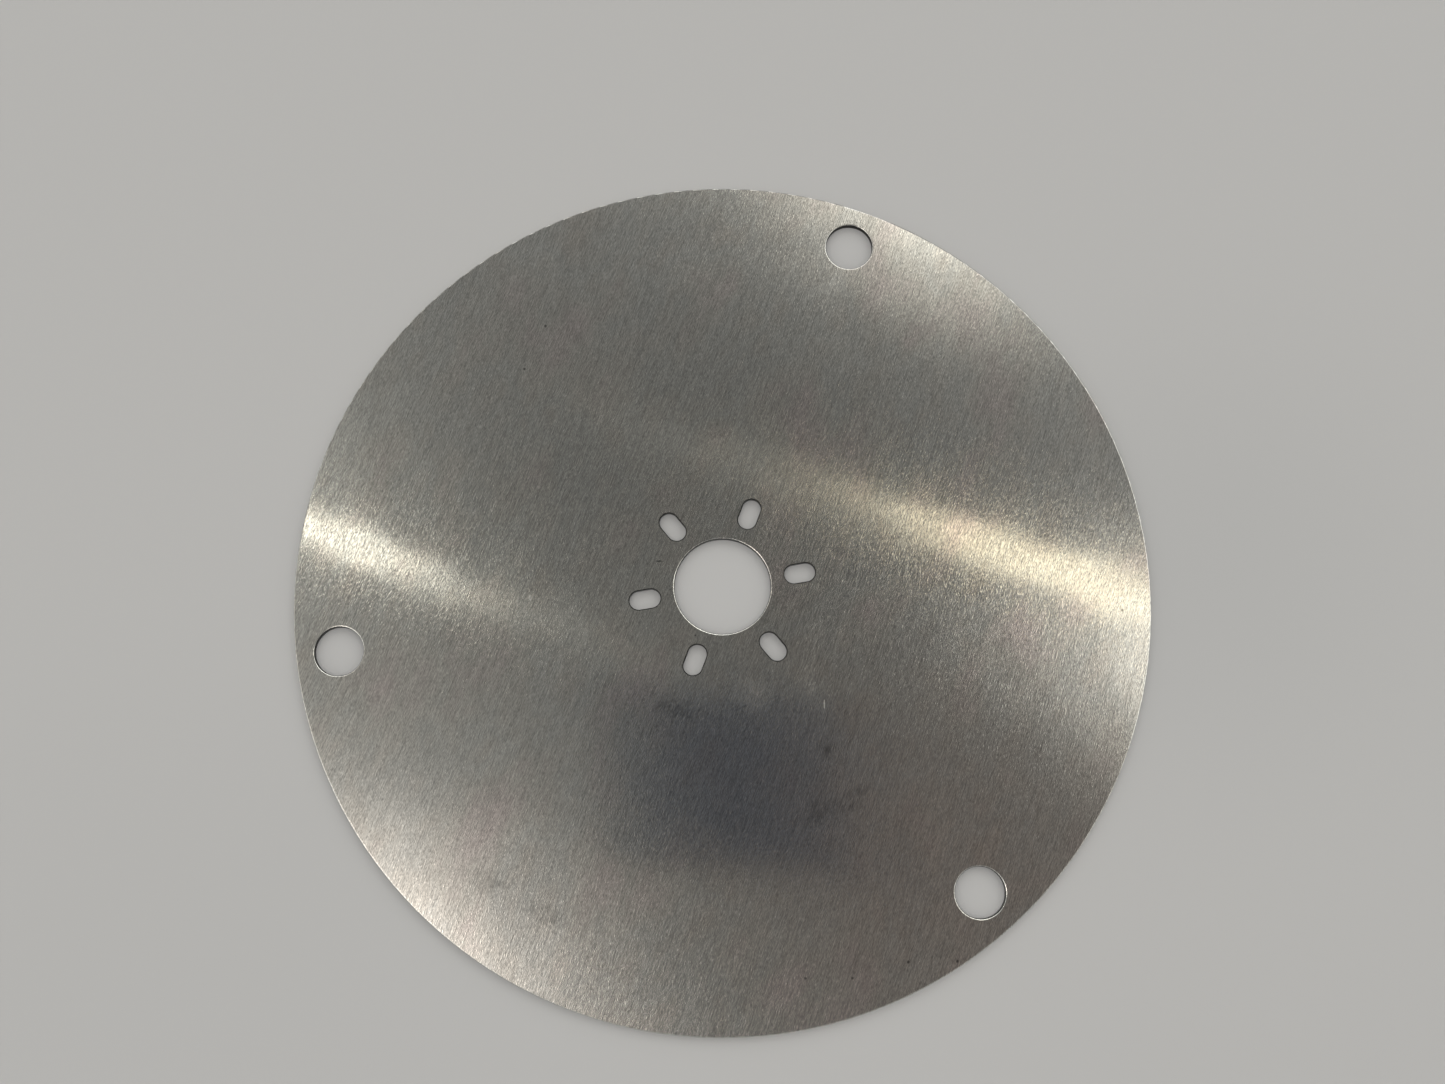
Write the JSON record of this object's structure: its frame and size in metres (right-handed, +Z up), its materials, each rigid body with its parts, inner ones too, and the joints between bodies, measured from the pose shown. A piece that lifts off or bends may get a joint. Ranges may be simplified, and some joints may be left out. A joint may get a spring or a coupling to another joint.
{
  "type": "robotic mower skid plate",
  "caption": "Flat round stainless skid plate that rides under a robotic mower's blade disc, with a centre bore, radial mounting slots and screwdriver access holes near the rim.",
  "frame": {"origin": "centre of the bore on the underside of the plate", "axes": "+Z up through the bore, away from the underside; +X through one radial slot and one rim hole, along the brushed grain"},
  "size_m": [0.2, 0.2, 0.0015],
  "materials": {
    "brushed_stainless": "satin stainless sheet brushed in one direction, with light scuffs"
  },
  "bodies": {
    "root": {"skid_plate": "brushed_stainless"}
  },
  "joints": []
}
